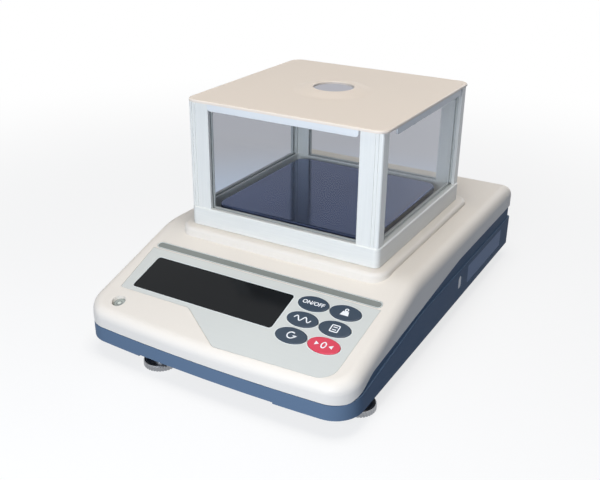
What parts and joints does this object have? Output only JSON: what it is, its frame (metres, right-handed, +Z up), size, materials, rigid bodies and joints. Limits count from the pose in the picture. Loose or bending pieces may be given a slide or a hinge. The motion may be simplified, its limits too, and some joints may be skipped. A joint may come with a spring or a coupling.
{
  "type": "digital lab scale",
  "caption": "Electronic precision balance: sloping key panel, square pan inside a square glass draft shield with a lift-off lid, on levelling feet.",
  "frame": {"origin": "on the table, under the middle of the balance's footprint", "axes": "+Z up, +Y from the key panel to the connectors at the back, +X to the user's right"},
  "size_m": [0.21, 0.317, 0.1705],
  "materials": {
    "cover_plastic": "moulded, cream white, satin",
    "case_plastic": "moulded, slate blue, fine grain",
    "label_film": "blank printed film, blue grey",
    "overlay_film": "printed film, pale grey green",
    "strip_film": "blank film, mid grey green",
    "window_lens": "polished, nearly black",
    "key_slate": "satin, dark slate",
    "key_red": "satin, red",
    "shield_metal": "satin silver",
    "lid_enamel": "smooth ivory enamel",
    "pane_glass": "clear float glass",
    "pan_steel": "polished stainless steel",
    "carrier_alloy": "cast and machined alloy",
    "dust_plate_paint": "satin grey paint",
    "cushion_rubber": "soft black rubber",
    "foot_metal": "turned and polished",
    "insert_brass": "turned brass",
    "screw_steel": "zinc plated steel",
    "circuit_board": "glass fibre board, green lacquer",
    "display_glass": "dark display tube",
    "black_plastic": "moulded black plastic",
    "port_shell": "tinned steel",
    "pale_plastic": "moulded, off white",
    "level_fluid": "clear dome over a pale fluid"
  },
  "bodies": {
    "housing": {"base_plate": "carrier_alloy", "board_screws": "screw_steel", "case_screws": "screw_steel", "display_board": "circuit_board", "display_tube": "display_glass", "display_window": "window_lens", "dust_plate": "dust_plate_paint", "foot_inserts": "insert_brass", "ground_terminal": "screw_steel", "hook_cover_screw": "screw_steel", "key_switches": "black_plastic", "level_cup": "pale_plastic", "level_vial": "level_fluid", "load_cell": "carrier_alloy", "lower_case": "case_plastic", "main_board": "circuit_board", "panel_overlay": "overlay_film", "port_jackscrews": "insert_brass", "power_jack": "black_plastic", "sensor_screws": "screw_steel", "sensor_spacer": "carrier_alloy", "serial_insert": "black_plastic", "serial_port": "port_shell", "side_label": "label_film", "side_slot_plug": "pale_plastic", "title_strip": "strip_film", "upper_cover": "cover_plastic"},
    "load_receptor": {"receptor_arm": "carrier_alloy", "receptor_screws": "screw_steel", "pan_spindle": "carrier_alloy", "pan_cushions": "cushion_rubber", "weighing_hook": "screw_steel"},
    "pan": {"weighing_pan": "pan_steel"},
    "draft_shield": {"shield_frame": "shield_metal", "shield_screws": "screw_steel", "shield_post_front_right": "shield_metal", "shield_post_rear_right": "shield_metal", "shield_post_rear_left": "shield_metal", "shield_post_front_left": "shield_metal", "shield_pane_front": "pane_glass", "shield_pane_right": "pane_glass", "shield_pane_rear": "pane_glass", "shield_pane_left": "pane_glass"},
    "lid": {"shield_lid": "lid_enamel"},
    "hook_cover": {"hook_cover": "case_plastic"},
    "on_off_key": {"on_off_key": "key_slate"},
    "sample_key": {"sample_key": "key_slate"},
    "mode_key": {"mode_key": "key_slate"},
    "calibration_key": {"calibration_key": "key_slate"},
    "print_key": {"print_key": "key_slate"},
    "zero_key": {"zero_key": "key_red"},
    "foot_front_left": {"foot_front_left": "foot_metal", "foot_pad_front_left": "cushion_rubber"},
    "foot_front_right": {"foot_front_right": "foot_metal", "foot_pad_front_right": "cushion_rubber"},
    "foot_rear_left": {"foot_rear_left": "foot_metal", "foot_pad_rear_left": "cushion_rubber"},
    "foot_rear_right": {"foot_rear_right": "foot_metal", "foot_pad_rear_right": "cushion_rubber"}
  },
  "joints": [
    {"name": "pan_travel", "type": "slide", "parent": "housing", "child": "load_receptor", "axis": [0, 0, -1], "range_m": [0, 0.0004], "stiffness_N_per_m": 20000, "springref_m": -0.0004},
    {"name": "pan_lift", "type": "slide", "parent": "load_receptor", "child": "pan", "axis": [0, 0, 1], "range_m": [0, 0.06]},
    {"name": "shield_lift", "type": "slide", "parent": "housing", "child": "draft_shield", "axis": [0, 0, 1], "range_m": [0, 0.1]},
    {"name": "lid_lift", "type": "slide", "parent": "draft_shield", "child": "lid", "axis": [0, 0, 1], "range_m": [0, 0.06]},
    {"name": "hook_cover_swing", "type": "hinge", "parent": "housing", "child": "hook_cover", "pos_m": [0.018, 0.0152, 0.015], "axis": [0, 0, 1], "range_deg": [0, 100]},
    {"name": "on_off_press", "type": "slide", "parent": "housing", "child": "on_off_key", "axis": [0, 0.2961, -0.9552], "range_m": [0, 0.0005], "stiffness_N_per_m": 1500, "springref_m": -0.0004},
    {"name": "sample_press", "type": "slide", "parent": "housing", "child": "sample_key", "axis": [0, 0.2961, -0.9552], "range_m": [0, 0.0005], "stiffness_N_per_m": 1500, "springref_m": -0.0004},
    {"name": "mode_press", "type": "slide", "parent": "housing", "child": "mode_key", "axis": [0, 0.2961, -0.9552], "range_m": [0, 0.0005], "stiffness_N_per_m": 1500, "springref_m": -0.0004},
    {"name": "calibration_press", "type": "slide", "parent": "housing", "child": "calibration_key", "axis": [0, 0.2961, -0.9552], "range_m": [0, 0.0005], "stiffness_N_per_m": 1500, "springref_m": -0.0004},
    {"name": "print_press", "type": "slide", "parent": "housing", "child": "print_key", "axis": [0, 0.2961, -0.9552], "range_m": [0, 0.0005], "stiffness_N_per_m": 1500, "springref_m": -0.0004},
    {"name": "zero_press", "type": "slide", "parent": "housing", "child": "zero_key", "axis": [0, 0.2961, -0.9552], "range_m": [0, 0.0005], "stiffness_N_per_m": 1500, "springref_m": -0.0004},
    {"name": "foot_front_left_turn", "type": "hinge", "parent": "housing", "child": "foot_front_left", "pos_m": [-0.049, -0.14, 0.005], "axis": [0, 0, 1], "continuous": true},
    {"name": "foot_front_right_turn", "type": "hinge", "parent": "housing", "child": "foot_front_right", "pos_m": [0.0923, -0.116, 0.005], "axis": [0, 0, 1], "continuous": true},
    {"name": "foot_rear_left_turn", "type": "hinge", "parent": "housing", "child": "foot_rear_left", "pos_m": [-0.085, 0.134, 0.005], "axis": [0, 0, 1], "continuous": true},
    {"name": "foot_rear_right_turn", "type": "hinge", "parent": "housing", "child": "foot_rear_right", "pos_m": [0.085, 0.134, 0.005], "axis": [0, 0, 1], "continuous": true}
  ]
}
